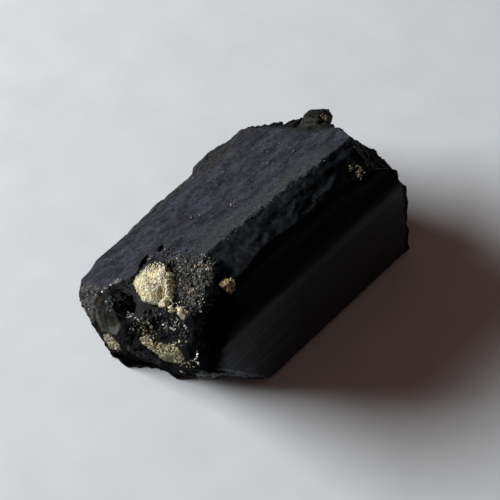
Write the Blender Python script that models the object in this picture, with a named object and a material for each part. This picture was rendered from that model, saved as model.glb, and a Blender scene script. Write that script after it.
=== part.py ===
"""Black tourmaline (schorl): a stubby prism with a ditrigonal section, lying on one of its long faces.

The c axis runs along X. The end at -X is broken back into a pocket between a tongue and a shoulder of the
crystal, and lumps of feldspar and mica have grown into it. The end at +X is a rougher, squarer break with
a knob on its upper edge. Metres, +Z up, and the origin is under the middle of the crystal.
"""

import math

import bmesh
import bpy
from mathutils import Matrix, Vector, noise
from mathutils.geometry import delaunay_2d_cdt

MM = 0.001

# ---- driving dimensions: millimetres and degrees ----

# The prism's faces: the direction of each outward normal in the YZ plane, from +Y towards +Z, and its
# distance from the section's centre. The angles between neighbours are 30 or 60 degrees, as tourmaline's
# are, but for the top bevel, which is worn and lies flatter.
SECTION_CENTRE = Vector((-1.0, 15.0))
PRISM_FACES = {
    "upper": (53.0, 10.1),
    "left_bevel": (23.0, 20.4),
    "left": (-7.0, 27.3),
    "left_under": (-67.0, 21.7),
    "base": (-90.0, 15.0),
    "right_under": (-127.0, 26.6),
    "right": (-187.0, 23.95),
    "right_bevel": (-217.0, 24.0),
    "top_bevel": (-257.0, 21.4),
}
# How many strips each face is divided into across its width.
STRIPS = {
    "upper": 14, "left_bevel": 2, "left": 2, "left_under": 3, "base": 6,
    "right_under": 1, "right": 10, "right_bevel": 5, "top_bevel": 6,
}
# Height of the growth steps that run along each face, and of the roughness worn into it.
STEP_HEIGHT = {"upper": 0.10, "right": 0.16, "right_bevel": 0.18, "top_bevel": 0.25, "left": 0.15}
WEAR_HEIGHT = {"upper": 0.10, "right": 0.05, "right_bevel": 0.08, "top_bevel": 0.55, "left_bevel": 0.30}
EDGE_WEAR = 0.45  # how far the long edges are worn back, unevenly
EDGE_WEAR_LENGTH = 5.0  # length of one scallop along an edge

BLANK = (-42.0, 48.0)  # the prism before its ends are broken

# The origin is moved here, under the middle of the finished crystal. All the points below are given before
# that move.
ORIGIN = Vector((4.47, 0.98, 0.0))
STATION_PITCH = 2.3

# The near break, seen along the line that looks squarely into it: its corners as (x, y, z). The rim follows
# where the break meets the prism's faces, and then passes outside the crystal.
NEAR_LOOK = (222.0, 52.0)  # azimuth and elevation of the outward direction
NEAR_RIM = {
    "tongue_side": (-26.5, 26.0, 6.5),
    "tongue_tip": (-28.6, 20.2, 11.6),
    "tongue_nose": (-30.8, 14.0, 16.2),
    "tongue_edge": (-31.0, 10.4, 19.0),
    "tongue_notch": (-29.3, 9.7, 19.5),
    "tongue_root": (-27.4, 8.1, 20.8),
    "slot_mouth": (-24.3, 6.4, 22.0),
    "slot_side": (-18.2, 8.3, 20.6),
    "slot_end": (-12.7, 8.8, 20.2),
    "ledge_left": (-16.7, 1.6, 25.7),
    "ledge_mid": (-16.2, -3.4, 29.5),
    "ledge_right": (-16.5, -8.1, 33.0),
    "bevel_bite": (-15.0, -12.4, 34.2),
    "shoulder_back": (-14.6, -16.6, 34.2),
    "shoulder_mid": (-21.3, -17.5, 33.0),
    "shoulder_front": (-27.1, -18.4, 31.9),
    "brow": (-30.3, -20.3, 29.5),
    "brow_low": (-30.7, -22.8, 26.1),
    "cheek": (-33.4, -24.4, 24.0),
    "below_cheek": (-36.0, -24.6, 15.0),
    "below_chin": (-40.0, -12.0, -6.0),
    "below_front": (-42.0, 6.0, -8.0),
    "beyond_tip": (-36.0, 27.0, -4.0),
}
NEAR_FLOOR = {
    "tongue_face_top": (-32.2, 13.2, 13.0),
    "tongue_face_low": (-33.4, 12.4, 3.0),
    "tip_low": (-31.0, 19.8, 3.0),
    "hollow_left": (-29.9, 9.0, 14.5),
    "hollow_top": (-27.7, 8.0, 16.9),
    "hollow_top_right": (-25.9, 6.2, 17.7),
    "hollow_right": (-25.9, 3.3, 16.9),
    "hollow_low_right": (-27.6, 3.6, 13.3),
    "hollow_low": (-28.9, 5.6, 11.0),
    "hollow_low_left": (-30.0, 8.1, 11.7),
    "hollow_floor_left": (-27.0, 9.5, 10.4),
    "hollow_floor_top": (-24.3, 9.1, 10.4),
    "hollow_floor_right": (-25.0, 7.2, 9.8),
    "hollow_foot": (-30.4, 6.8, 8.0),
    "feldspar_left": (-25.7, 5.9, 19.4),
    "feldspar_shoulder": (-22.4, 6.1, 21.4),
    "feldspar_top": (-19.4, 4.8, 22.5),
    "feldspar_right": (-19.5, 0.5, 23.7),
    "feldspar_mid": (-23.6, 1.6, 21.4),
    "feldspar_foot": (-25.6, -3.6, 19.8),
    "granular_top": (-19.8, -5.6, 26.8),
    "granular_mid": (-24.9, -10.2, 26.8),
    "granular_right": (-27.6, -15.6, 28.0),
    "dark_floor": (-27.2, -2.4, 12.6),
    "dark_right": (-30.0, -12.8, 23.4),
    "cheek_upper": (-30.1, -17.5, 27.1),
    "cheek_lower": (-31.8, -19.8, 23.7),
    "channel": (-29.8, 2.4, 8.6),
    "mica_left": (-31.4, -1.0, 8.6),
    "mica_crest": (-31.6, -6.8, 10.6),
    "mica_right": (-31.3, -12.0, 14.4),
    "cheek_foot": (-32.6, -18.2, 17.4),
    "front_left": (-34.4, 7.0, 3.2),
    "front_tip": (-33.6, 10.2, 2.0),
    "rim_left": (-33.6, 0.7, 6.5),
    "rim_mid": (-32.3, -3.6, 6.5),
    "rim_right": (-31.4, -6.8, 6.0),
    "recess_left": (-32.9, 0.7, 1.2),
    "recess_mid": (-31.0, -2.0, 1.0),
    "recess_right": (-29.7, -5.0, 0.8),
    "lip_left": (-34.3, 1.0, 0.4),
    "lip_mid": (-32.5, -1.1, 0.3),
    "lip_right": (-29.4, -5.7, 0.3),
    "chin": (-28.8, -11.1, 1.5),
    "chin_right": (-28.3, -14.0, 3.0),
    "foot_tip": (-29.2, 25.2, -1.0),
    "foot_tongue": (-31.4, 21.4, -1.0),
    "foot_face": (-33.1, 14.3, -1.0),
    "foot_left": (-35.0, 7.0, -1.0),
    "foot_front": (-35.0, 1.1, -1.0),
    "foot_mid": (-31.9, -3.7, -1.0),
    "foot_right": (-29.7, -7.5, -1.0),
    "foot_chin": (-28.2, -10.4, -1.0),
}
# Grains and pits of the near break: middle (x, y, z), radius, and height out of the break.
NEAR_LUMPS = {
    "feldspar": ((-23.0, 2.3, 19.7), 4.7, 1.5),
    "feldspar_low": ((-25.6, 3.4, 18.4), 4.8, 2.6),
    "feldspar_foot": ((-26.0, -5.7, 22.1), 1.7, 1.3),
    "hollow_grain": ((-26.0, 8.3, 10.9), 2.2, 2.0),
    "grain_1": ((-28.0, -0.1, 14.0), 2.4, 1.2),
    "grain_2": ((-28.0, -5.6, 16.6), 2.2, -1.1),
    "grain_3": ((-27.5, -12.0, 22.7), 2.0, 1.3),
    "grain_4": ((-29.5, -9.6, 16.1), 2.3, -1.2),
    "grain_5": ((-24.5, -11.7, 27.0), 1.9, 1.1),
    "grain_6": ((-22.5, -6.9, 25.9), 2.0, -0.9),
    "grain_7": ((-18.5, -9.7, 30.7), 2.0, 0.9),
    "grain_8": ((-31.0, -15.3, 18.9), 2.1, 1.0),
}
NEAR_PITCH = 1.15
NEAR_ROUGH = 0.55

# The undercut below the right face, at the near end: outward direction, distance from the origin, roughness.
UNDERCUT_LOOK = (221.0, -29.0)
UNDERCUT_REACH = 24.4
UNDERCUT_ROUGH = 0.5
# Two leaf-shaped cracks where the near break meets the upper face: ends (x, y, z), width and depth.
CRACKS = {
    "crack_low": ((-24.6, 6.0, 22.0), (-15.8, 9.9, 19.6), 1.7, 4.2),
    "crack_high": ((-17.2, 6.9, 21.6), (-12.2, 8.4, 20.7), 1.5, 3.2),
}
# The squared-off end of the tongue.
TONGUE_LOOK = (161.5, 0.0)
TONGUE_REACH = 34.4
TONGUE_ROUGH = 0.25

# The far break, seen along +X: corners as (x, y, z), and a margin outside the section.
FAR_CORNERS = {
    "base_left": (35.0, 20.0, 0.0),
    "left_low": (35.4, 25.0, 3.0),
    "left_edge": (36.0, 24.0, 9.0),
    "upper_end": (37.4, 19.0, 12.6),
    "upper_left": (38.2, 14.0, 16.0),
    "upper_mid": (40.0, 8.6, 20.0),
    "knob_foot": (38.8, 8.0, 14.5),
    "upper_right": (37.8, 2.0, 25.2),
    "crest": (35.4, -3.4, 29.4),
    "bevel_left": (31.6, -10.4, 34.6),
    "bevel_right": (29.0, -18.4, 31.2),
    "chip_top": (34.6, -19.6, 29.0),
    "chip_left": (37.0, -6.0, 26.0),
    "chip_mid": (37.4, -14.0, 26.4),
    "chip_right": (36.6, -20.4, 25.0),
    "right_top": (34.8, -23.6, 25.4),
    "right_upper": (37.0, -24.4, 19.6),
    "right_mid": (36.2, -25.4, 10.0),
    "right_low": (36.4, -26.8, 0.0),
    "hollow_left": (36.4, 12.0, 8.0),
    "hollow_mid": (35.6, -2.0, 14.0),
    "ridge": (38.4, -10.0, 17.0),
    "base_mid": (36.4, -4.0, 0.0),
}
FAR_MARGIN = 6.0
FAR_PITCH = 1.7
FAR_ROUGH = 0.5

# The knob on the far break's upper edge: centre, half sizes along X, across and out of the upper face.
KNOB_CENTRE = (39.3, 6.6, 20.9)
KNOB_SIZE = (3.9, 4.8, 2.5)
KNOB_POINTS = 34

# How far the left side widens along the crystal: each step is (from station, to station, by how much).
SIDE_STEPS = (
    (-14.0, 2.0, 1.45), (16.0, 19.0, 2.1), (26.5, 29.5, -1.0), (-20.0, -31.5, -3.4), (-20.5, -23.5, -0.9),
    (-24.5, -29.0, 0.9),
)
# The rough bevel is widened into the upper face, most at the near end, up to a jagged line.
BEVEL_WIDENING = 4.4
BEVEL_STATIONS = (-16.0, 31.0)
BEVEL_JAG = 0.8
BEVEL_JAG_LENGTH = 3.6
# How far its lower edge climbs along the plane of the face below it, in the same kind of steps.
RIDGE_STEPS = ((-14.0, -6.0, 1.4), (-4.0, 5.0, -1.4), (17.0, 27.0, -2.2))

CHIP_SIZE = 3.2  # width of one chip of the broken surfaces
SEED_NEAR, SEED_FAR, SEED_UNDER, SEED_EDGE = 3.0, 17.0, 29.0, 41.0


def clear_scene():
    for obj in list(bpy.data.objects):
        bpy.data.objects.remove(obj, do_unlink=True)


def direction(azimuth, elevation):
    a, e = math.radians(azimuth), math.radians(elevation)
    return Vector((math.cos(a) * math.cos(e), math.sin(a) * math.cos(e), math.sin(e)))


def axes_of(outward):
    """A right-handed set (across, up, outward) that looks squarely at a break."""
    across = Vector((0, 0, 1)).cross(outward).normalized()
    return across, outward.cross(across), outward


def ramp(x, stations):
    t = max(0.0, min(1.0, (x - stations[0]) / (stations[1] - stations[0])))
    return t * t * (3.0 - 2.0 * t)


def stepped(x, steps):
    return sum(amount * ramp(x, (start, end)) for start, end, amount in steps)


def section_corners():
    """Corner k of the section lies between face k and face k + 1, as (y, z)."""
    faces = list(PRISM_FACES.values())
    corners = []
    for (a, da), (b, db) in zip(faces, faces[1:] + faces[:1]):
        a, b = math.radians(a), math.radians(b)
        det = math.sin(b - a)
        y = (da * math.sin(b) - db * math.sin(a)) / det
        z = (db * math.cos(a) - da * math.cos(b)) / det
        corners.append(Vector((y, z)) + SECTION_CENTRE)
    return corners


def chips(point, size, seed):
    """Height in -1..1 of a surface of flat, tilted chips, each about one size across."""
    where = point / size + Vector((seed, seed * 0.7, seed * 1.3))
    nearest = noise.voronoi(where)[1][0]
    tilt = noise.cell_vector(nearest * 7.3)
    return max(-1.0, min(1.0, 1.6 * tilt.dot(where - nearest) + 0.8 * noise.cell(nearest * 5.1)))


def facets_through(corners, rim_count):
    """Flat triangles through corners given as (across, up, out), inside the rim, which comes first."""
    flat = [c.to_2d() for c in corners]
    rim = [(i, (i + 1) % rim_count) for i in range(rim_count)]
    made = delaunay_2d_cdt(flat, rim, [], 1 if rim_count else 0, 1e-6)
    return [tuple(corners[made[3][v][0]] for v in face) for face in made[2]]


def height_on(facets, a, b):
    """Height of the faceted surface over (a, b), or of the facet nearest to it."""
    best, best_out = None, 1e9
    for p, q, r in facets:
        area = (q.x - p.x) * (r.y - p.y) - (r.x - p.x) * (q.y - p.y)
        if abs(area) < 1e-9:
            continue
        u = ((a - p.x) * (r.y - p.y) - (r.x - p.x) * (b - p.y)) / area
        v = ((q.x - p.x) * (b - p.y) - (a - p.x) * (q.y - p.y)) / area
        outside = max(0.0, -u, -v, u + v - 1.0)
        if outside < best_out:
            best, best_out = p.z + u * (q.z - p.z) + v * (r.z - p.z), outside
            if outside == 0.0:
                break
    return best


def filled(outline, pitch, seed):
    """The outline's points with jittered points inside it, about one pitch apart, and the triangles on them."""
    low = Vector((min(p.x for p in outline), min(p.y for p in outline)))
    high = Vector((max(p.x for p in outline), max(p.y for p in outline)))
    ring = []
    for p, q in zip(outline, outline[1:] + outline[:1]):
        steps = max(1, round((q - p).length / pitch))
        side = (q - p).orthogonal().normalized() * 0.3 * pitch
        for k in range(steps):
            wobble = noise.cell(Vector((p.x + k * 3.1, p.y, seed))) if k else 0.0
            ring.append(p.lerp(q, k / steps) + side * wobble)
    points = list(ring)
    rows, cols = int((high.y - low.y) / pitch) + 1, int((high.x - low.x) / pitch) + 1
    for j in range(rows):
        for i in range(cols):
            jitter = noise.cell_vector(Vector((i, j, seed))) * 0.28
            spot = low + Vector((i + 0.5 * (j % 2) + jitter.x, j + jitter.y)) * pitch
            if inside(ring, spot) and min((spot - r).length for r in ring) > 0.45 * pitch:
                points.append(spot)
    edges = [(i, (i + 1) % len(ring)) for i in range(len(ring))]
    made = delaunay_2d_cdt(points, edges, [], 1, 1e-6)
    return made[0], made[2], len(ring)


def inside(ring, spot):
    hit = False
    for p, q in zip(ring, ring[1:] + ring[:1]):
        if (p.y > spot.y) != (q.y > spot.y):
            if spot.x < p.x + (spot.y - p.y) * (q.x - p.x) / (q.y - p.y):
                hit = not hit
    return hit


def cutter(name, axes, outline, height, pitch, reach, seed):
    """What a break takes away: from the broken surface outwards, over the outline."""
    across, up, out = axes
    points, triangles, ring_count = filled(outline, pitch, seed)
    bm = bmesh.new()
    low = []
    for p in points:
        base = across * p.x + up * p.y
        low.append(bm.verts.new((base + out * height(p.x, p.y)) * MM))
    high = [bm.verts.new((across * p.x + up * p.y + out * reach) * MM) for p in points[:ring_count]]
    for t in triangles:
        bm.faces.new([low[v] for v in t])
    for i in range(ring_count):
        j = (i + 1) % ring_count
        bm.faces.new((low[i], low[j], high[j], high[i]))
    middle = sum((v.co for v in high), Vector()) / ring_count
    tip = bm.verts.new(middle + out * 4.0 * MM)
    for i in range(ring_count):
        bm.faces.new((high[i], high[(i + 1) % ring_count], tip))
    bmesh.ops.recalc_face_normals(bm, faces=bm.faces)
    mesh = bpy.data.meshes.new(name)
    bm.to_mesh(mesh)
    bm.free()
    obj = bpy.data.objects.new(name, mesh)
    bpy.context.collection.objects.link(obj)
    obj.hide_render = True
    obj.display_type = "WIRE"
    return obj


def near_cutter():
    axes = axes_of(direction(*NEAR_LOOK))
    frame = Matrix(axes)
    rim = [frame @ Vector(c) for c in NEAR_RIM.values()]
    floor = [frame @ Vector(c) for c in NEAR_FLOOR.values()]
    facets = facets_through(rim + floor, len(rim))
    lumps = [(frame @ Vector(c), radius, rise) for c, radius, rise in NEAR_LUMPS.values()]
    look = frame.inverted()

    def height(a, b):
        base = height_on(facets, a, b)
        spot = look @ Vector((a, b, base))
        rough = 0.65 * chips(spot, CHIP_SIZE, SEED_NEAR) + 0.35 * chips(spot, CHIP_SIZE * 0.5, SEED_NEAR + 5)
        for middle, radius, rise in lumps:
            base += rise * (1.0 - ramp(math.hypot(a - middle.x, b - middle.y), (0.35 * radius, radius)))
        return base + NEAR_ROUGH * rough

    return cutter("near_break", axes, [c.to_2d() for c in rim], height, NEAR_PITCH, 90.0, SEED_NEAR)


def far_cutter():
    axes = (Vector((0, 1, 0)), Vector((0, 0, 1)), Vector((1, 0, 0)))
    frame = Matrix(axes)
    corners = [frame @ Vector(c) for c in FAR_CORNERS.values()]
    facets = facets_through(corners, 0)

    def height(a, b):
        base = height_on(facets, a, b)
        spot = Vector((base, a, b))
        rough = 0.7 * chips(spot, CHIP_SIZE * 1.2, SEED_FAR) + 0.3 * chips(spot, CHIP_SIZE * 0.6, SEED_FAR + 5)
        return base + FAR_ROUGH * rough

    section = section_corners()
    middle = sum(section, Vector((0, 0))) / len(section)
    outline = [c + (c - middle).normalized() * FAR_MARGIN for c in section]
    return cutter("far_break", axes, outline[::-1], height, FAR_PITCH, 90.0, SEED_FAR)


def rough_plane_cutter(name, look, reach, size, centre, roughness, pitch, seed):
    """A break that is flat but for its chips: a square of the given size about a centre (x, y, z)."""
    axes = axes_of(direction(*look))
    frame = Matrix(axes)
    middle = (frame @ Vector(centre)).to_2d()
    half = size / 2
    outline = [middle + Vector(c) * half for c in ((-1, -1), (1, -1), (1, 1), (-1, 1))]
    look_back = frame.inverted()

    def height(a, b):
        spot = look_back @ Vector((a, b, reach))
        return reach + roughness * chips(spot, CHIP_SIZE, seed)

    return cutter(name, axes, outline, height, pitch, reach + 60.0, seed)


def corners_at(x):
    """The section's corners at a station, with the left side's steps and the widened bevel."""
    corners = section_corners()
    angle = math.radians(PRISM_FACES["upper"][0] - 90.0)
    down_left = Vector((math.cos(angle), math.sin(angle)))
    swell = stepped(x, SIDE_STEPS)
    corners[0] = corners[0] + down_left * swell
    for k in (1, 2, 3):
        corners[k] = corners[k] + Vector((swell, 0.0))
    start, end = BEVEL_STATIONS
    share = 1.0 - max(0.0, min(1.0, (x - start) / (end - start)))
    jag = noise.noise(Vector((x / BEVEL_JAG_LENGTH, 3.0, SEED_EDGE))) + 0.6 * noise.cell(
        Vector((x / BEVEL_JAG_LENGTH, 9.0, SEED_EDGE)))
    corners[8] = corners[8] + down_left * (BEVEL_WIDENING * share + BEVEL_JAG * jag)
    face_up = (corners[7] - corners[6]).normalized()
    corners[7] = corners[7] + face_up * stepped(x, RIDGE_STEPS)
    return corners


def ring_at(x):
    """The section's points at a station: (face, strip, flat point, outward direction of the face)."""
    corners = corners_at(x)
    ring = []
    for k, name in enumerate(PRISM_FACES):
        angle = math.radians(PRISM_FACES[name][0])
        out = Vector((math.cos(angle), math.sin(angle)))
        for i in range(STRIPS[name]):
            ring.append((name, i, corners[k - 1].lerp(corners[k], i / STRIPS[name]), out))
    return ring


def prism():
    """The whole prism, with its growth steps, worn edges and rough bevel, as rings of points along X."""
    count = max(2, round((BLANK[1] - BLANK[0]) / STATION_PITCH))
    stations = [BLANK[0] + (BLANK[1] - BLANK[0]) * i / count for i in range(count + 1)]
    centre = SECTION_CENTRE
    bm = bmesh.new()
    rows = []
    for x in stations:
        row = []
        for k, (name, i, flat, out) in enumerate(ring_at(x)):
            step = STEP_HEIGHT.get(name, 0.0) * noise.cell(Vector((k * 1.7, 2.0, 0.0)))
            where = Vector((x, flat.x, flat.y))
            wear = WEAR_HEIGHT.get(name, 0.0) * chips(where, CHIP_SIZE * 1.1, SEED_EDGE)
            shift = out * (step + wear)
            if i == 0:
                scallop = 0.5 + 0.5 * noise.noise(Vector((x / EDGE_WEAR_LENGTH, k, SEED_EDGE)))
                shift = (centre - flat).normalized() * EDGE_WEAR * scallop
            spot = flat + shift
            if flat.y < 1e-6:
                spot.y = 0.0
            row.append(bm.verts.new(Vector((x, spot.x, max(spot.y, 0.0))) * MM))
        rows.append(row)
    width = len(rows[0])
    for lower, upper in zip(rows, rows[1:]):
        for k in range(width):
            n = (k + 1) % width
            bm.faces.new((lower[k], lower[n], upper[n], upper[k]))
    for row, x in ((rows[0], BLANK[0] - 4.0), (rows[-1], BLANK[1] + 4.0)):
        tip = bm.verts.new(Vector((x, centre.x, centre.y)) * MM)
        for k in range(width):
            bm.faces.new((row[k], row[(k + 1) % width], tip))
    bmesh.ops.triangulate(bm, faces=bm.faces)
    bmesh.ops.recalc_face_normals(bm, faces=bm.faces)
    mesh = bpy.data.meshes.new("tourmaline_crystal")
    bm.to_mesh(mesh)
    bm.free()
    obj = bpy.data.objects.new("tourmaline_crystal", mesh)
    bpy.context.collection.objects.link(obj)
    return obj


def crack_cutter(name, start, end, width, depth):
    """A keel-shaped wedge that leaves a leaf-shaped crack: deepest in the middle, pointed at both ends."""
    out = direction(*NEAR_LOOK)
    start, end = Vector(start), Vector(end)
    middle = (start + end) / 2
    side = (end - start).cross(out).normalized() * width / 2
    above = out * 4.0
    corners = [start, end, middle + side, middle - side, middle - out * depth]
    corners += [start + above, end + above, middle + side + above, middle - side + above]
    return hull(name, corners)


def hull(name, corners):
    """The convex solid round the corners, as a helper for a Boolean."""
    bm = bmesh.new()
    for corner in corners:
        bm.verts.new(corner * MM)
    bmesh.ops.convex_hull(bm, input=bm.verts)
    bmesh.ops.recalc_face_normals(bm, faces=bm.faces)
    mesh = bpy.data.meshes.new(name)
    bm.to_mesh(mesh)
    bm.free()
    obj = bpy.data.objects.new(name, mesh)
    bpy.context.collection.objects.link(obj)
    obj.hide_render = True
    obj.display_type = "WIRE"
    return obj


def knob():
    """An angular lump: the hull of points spread evenly over an ellipsoid, each moved in or out a little."""
    angle = math.radians(PRISM_FACES["upper"][0])
    out = Vector((0.0, math.cos(angle), math.sin(angle)))
    along = Vector((1.0, 0.0, 0.0))
    across = out.cross(along)
    corners = []
    for k in range(KNOB_POINTS):
        z = 1.0 - 2.0 * (k + 0.5) / KNOB_POINTS
        turn = k * math.pi * (3.0 - math.sqrt(5.0))
        flat = math.sqrt(1.0 - z * z)
        size = 1.0 + 0.16 * noise.cell(Vector((k * 1.9, SEED_FAR, 4.0)))
        spot = (along * KNOB_SIZE[0] * flat * math.cos(turn) + across * KNOB_SIZE[1] * flat * math.sin(turn)
                + out * KNOB_SIZE[2] * z) * size
        corners.append(Vector(KNOB_CENTRE) + spot)
    return hull("knob", corners)


def schorl():
    material = bpy.data.materials.new("schorl")
    material.use_nodes = True
    shader = material.node_tree.nodes["Principled BSDF"]
    shader.inputs["Base Color"].default_value = (0.022, 0.023, 0.026, 1.0)
    shader.inputs["Roughness"].default_value = 0.42
    shader.inputs["Metallic"].default_value = 0.0
    return material


def main():
    clear_scene()
    crystal = prism()
    cutters = [
        near_cutter(),
        far_cutter(),
        rough_plane_cutter("undercut", UNDERCUT_LOOK, UNDERCUT_REACH, 46.0, (-24.0, -18.0, 8.0),
                           UNDERCUT_ROUGH, 1.9, SEED_UNDER),
        rough_plane_cutter("tongue_end", TONGUE_LOOK, TONGUE_REACH, 56.0, (-30.0, 22.0, 8.0),
                           TONGUE_ROUGH, 2.1, SEED_UNDER + 9),
        *(crack_cutter(name, *crack) for name, crack in CRACKS.items()),
    ]
    for obj in cutters:
        cut = crystal.modifiers.new(obj.name, "BOOLEAN")
        cut.operation = "DIFFERENCE"
        cut.solver = "EXACT"
        cut.object = obj
    lump = knob()
    join = crystal.modifiers.new(lump.name, "BOOLEAN")
    join.operation = "UNION"
    join.solver = "EXACT"
    join.object = lump
    for obj in (crystal, lump, *cutters):
        obj.location = -ORIGIN * MM
    crystal.data.materials.append(schorl())


main()
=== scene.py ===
"""A black tourmaline (schorl) lying on a sheet of pale paper, lit by a low soft light from the far left.

The stone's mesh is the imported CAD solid, divided finely, roughened by functions of position, and given
masks that say where the feldspar, the mica and the stains lie. Grains and flakes too small for the CAD
ride on it as joined meshes. Lengths are in millimetres until they reach Blender.
"""

import itertools
import math

import bpy
import numpy as np
from mathutils import Matrix, Vector, noise
from mathutils.bvhtree import BVHTree


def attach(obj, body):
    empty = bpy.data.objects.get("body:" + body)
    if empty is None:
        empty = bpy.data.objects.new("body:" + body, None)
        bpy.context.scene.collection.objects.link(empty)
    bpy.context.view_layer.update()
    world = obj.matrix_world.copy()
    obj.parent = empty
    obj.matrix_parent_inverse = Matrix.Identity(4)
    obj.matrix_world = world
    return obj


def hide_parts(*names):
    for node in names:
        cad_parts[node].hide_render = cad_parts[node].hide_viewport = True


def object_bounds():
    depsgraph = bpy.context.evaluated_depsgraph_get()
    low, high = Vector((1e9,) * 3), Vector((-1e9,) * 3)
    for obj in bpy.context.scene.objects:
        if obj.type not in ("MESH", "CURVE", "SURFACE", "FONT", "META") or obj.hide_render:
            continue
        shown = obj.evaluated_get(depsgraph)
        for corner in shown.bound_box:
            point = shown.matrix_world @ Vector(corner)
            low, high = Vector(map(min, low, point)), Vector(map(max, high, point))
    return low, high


MM = 0.001

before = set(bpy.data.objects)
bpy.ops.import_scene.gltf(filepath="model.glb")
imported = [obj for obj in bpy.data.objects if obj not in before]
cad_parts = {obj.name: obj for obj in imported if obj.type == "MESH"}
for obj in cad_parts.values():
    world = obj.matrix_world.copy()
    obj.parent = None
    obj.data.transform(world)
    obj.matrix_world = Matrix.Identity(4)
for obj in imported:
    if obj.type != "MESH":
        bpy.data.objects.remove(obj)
cad_low, cad_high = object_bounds()

# Every place below is given in the CAD's drawing coordinates, in which the origin has not yet been moved.
ORIGIN = np.array((4.47, 0.98, 0.0))

# ---- the camera: where it looks, from how far, and how it is turned ----
TARGET = Vector((3.63, -3.71, 12.57))
DISTANCE = 480.0
HEADING = 48.3  # degrees from +Y towards +X
LOOKING_DOWN = 52.0
FIELD_OF_VIEW = 14.11

# ---- the prism's section, as in the CAD: outward directions from +Y towards +Z, and distances ----
SECTION_CENTRE = np.array((-1.0, 15.0))
FACES = {
    "upper": (53.0, 10.1),
    "left_bevel": (23.0, 20.4),
    "left": (-7.0, 27.3),
    "left_under": (-67.0, 21.7),
    "base": (-90.0, 15.0),
    "right_under": (-127.0, 26.6),
    "right": (173.0, 23.95),
    "right_bevel": (143.0, 24.0),
    "top_bevel": (103.0, 21.4),
}
# How the left side widens, and how the ridge below the rough bevel climbs: (from x, to x, by how much).
SIDE_STEPS = (
    (-14.0, 2.0, 1.45), (16.0, 19.0, 2.1), (26.5, 29.5, -1.0), (-20.0, -31.5, -3.4), (-20.5, -23.5, -0.9),
    (-24.5, -29.0, 0.9),
)
RIDGE_STEPS = ((-14.0, -6.0, 1.4), (-4.0, 5.0, -1.4), (17.0, 27.0, -2.2))
# The rough bevel's jagged upper edge, as in the CAD: the x of its points, and how it widens and jags.
STATIONS = np.linspace(-42.0, 48.0, 40)
BEVEL_STATIONS = (-16.0, 31.0)
BEVEL_WIDENING = 4.4
BEVEL_JAG = 0.8
BEVEL_JAG_LENGTH = 3.6
BEVEL_STEP_SHARE = 0.6  # how much abrupt steps count, against smooth jags
SEED_EDGE = 41.0

VOXEL = 0.25  # between neighbouring points of the fine mesh
MOST_TRIANGLES = 190000


# ---- noise ----

# Large odd numbers that stir a hash's bits.
STIR_X = np.uint32(374761393)
STIR_Y = np.uint32(668265263)
STIR_Z = np.uint32(2246822519)
STIR_END = np.uint32(3266489917)
STIR_SEED = 40503
CHIP_TILT, CHIP_STEP = 1.6, 0.8  # how much a chip's tilt and its own level count in its height


def hashed(cells, seed):
    """A number in 0..1 for each integer cell."""
    c = cells.astype(np.int64).astype(np.uint32)
    h = c[..., 0] * STIR_X + c[..., 1] * STIR_Y
    h = h + c[..., 2] * STIR_Z + np.uint32(seed * STIR_SEED % 2**32)
    h ^= h >> np.uint32(15)
    h *= STIR_Z
    h ^= h >> np.uint32(13)
    h *= STIR_END
    h ^= h >> np.uint32(16)
    return h.astype(np.float32) / np.float32(2**32)


def soft_noise(points, size, seed):
    """Smooth noise in -1..1, with features about `size` across; size may be one number or three."""
    scaled = points / np.asarray(size, np.float32)
    base = np.floor(scaled)
    t = scaled - base
    t = t * t * (3.0 - 2.0 * t)
    total = np.zeros(len(points), np.float32)
    for corner in itertools.product((0, 1), repeat=3):
        weight = np.ones(len(points), np.float32)
        for axis in range(3):
            weight *= t[:, axis] if corner[axis] else 1.0 - t[:, axis]
        total += weight * hashed(base + np.array(corner), seed)
    return total * 2.0 - 1.0


def layered(points, size, seed, layers=4, gain=0.5):
    """Several sizes of smooth noise added together, in about -1..1."""
    total, height, reach = 0.0, 1.0, 0.0
    for k in range(layers):
        total = total + height * soft_noise(points, np.asarray(size) / 2.0**k, seed + 17 * k)
        reach += height
        height *= gain
    return total / reach * 1.6


def chips(points, size, seed):
    """Flat tilted chips about `size` across: the height of each point, in -1..1."""
    scaled = (points / np.asarray(size, np.float32)).astype(np.float32)
    base = np.floor(scaled)
    nearest = np.full(len(points), 9.0, np.float32)
    offset = np.zeros((len(points), 3), np.float32)
    owner = np.zeros((len(points), 3), np.float32)
    for corner in itertools.product((-1, 0, 1), repeat=3):
        cell = base + np.array(corner, np.float32)
        spot = cell + np.stack([hashed(cell, seed + k) for k in (1, 2, 3)], 1)
        away = scaled - spot
        distance = np.sqrt((away * away).sum(1))
        nearer = distance < nearest
        nearest = np.where(nearer, distance, nearest)
        offset = np.where(nearer[:, None], away, offset)
        owner = np.where(nearer[:, None], cell, owner)
    tilt = np.stack([hashed(owner, seed + k) for k in (11, 12, 13)], 1) * 2.0 - 1.0
    level = hashed(owner, seed + 14) * 2.0 - 1.0
    return np.clip(CHIP_TILT * (tilt * offset).sum(1) + CHIP_STEP * level, -1.0, 1.0)


def rise(value, low, high):
    """0 below `low`, 1 above `high`, smooth between; high may be the smaller."""
    t = np.clip((value - low) / (high - low), 0.0, 1.0)
    return t * t * (3.0 - 2.0 * t)


# ---- the stone ----


def fine_copy(node, name):
    """A new object with the CAD node's shape, divided finely and evenly."""
    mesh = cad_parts[node].data.copy()
    obj = bpy.data.objects.new(name, mesh)
    bpy.context.scene.collection.objects.link(obj)
    remesh = obj.modifiers.new("fine", "REMESH")
    remesh.mode = "VOXEL"
    remesh.voxel_size = VOXEL * MM
    remesh.adaptivity = 0.0
    bake(obj)
    return obj


def bake(obj):
    """Replaces the object's mesh with its evaluated one."""
    graph = bpy.context.evaluated_depsgraph_get()
    made = bpy.data.meshes.new_from_object(obj.evaluated_get(graph))
    obj.modifiers.clear()
    obj.data = made


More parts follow.
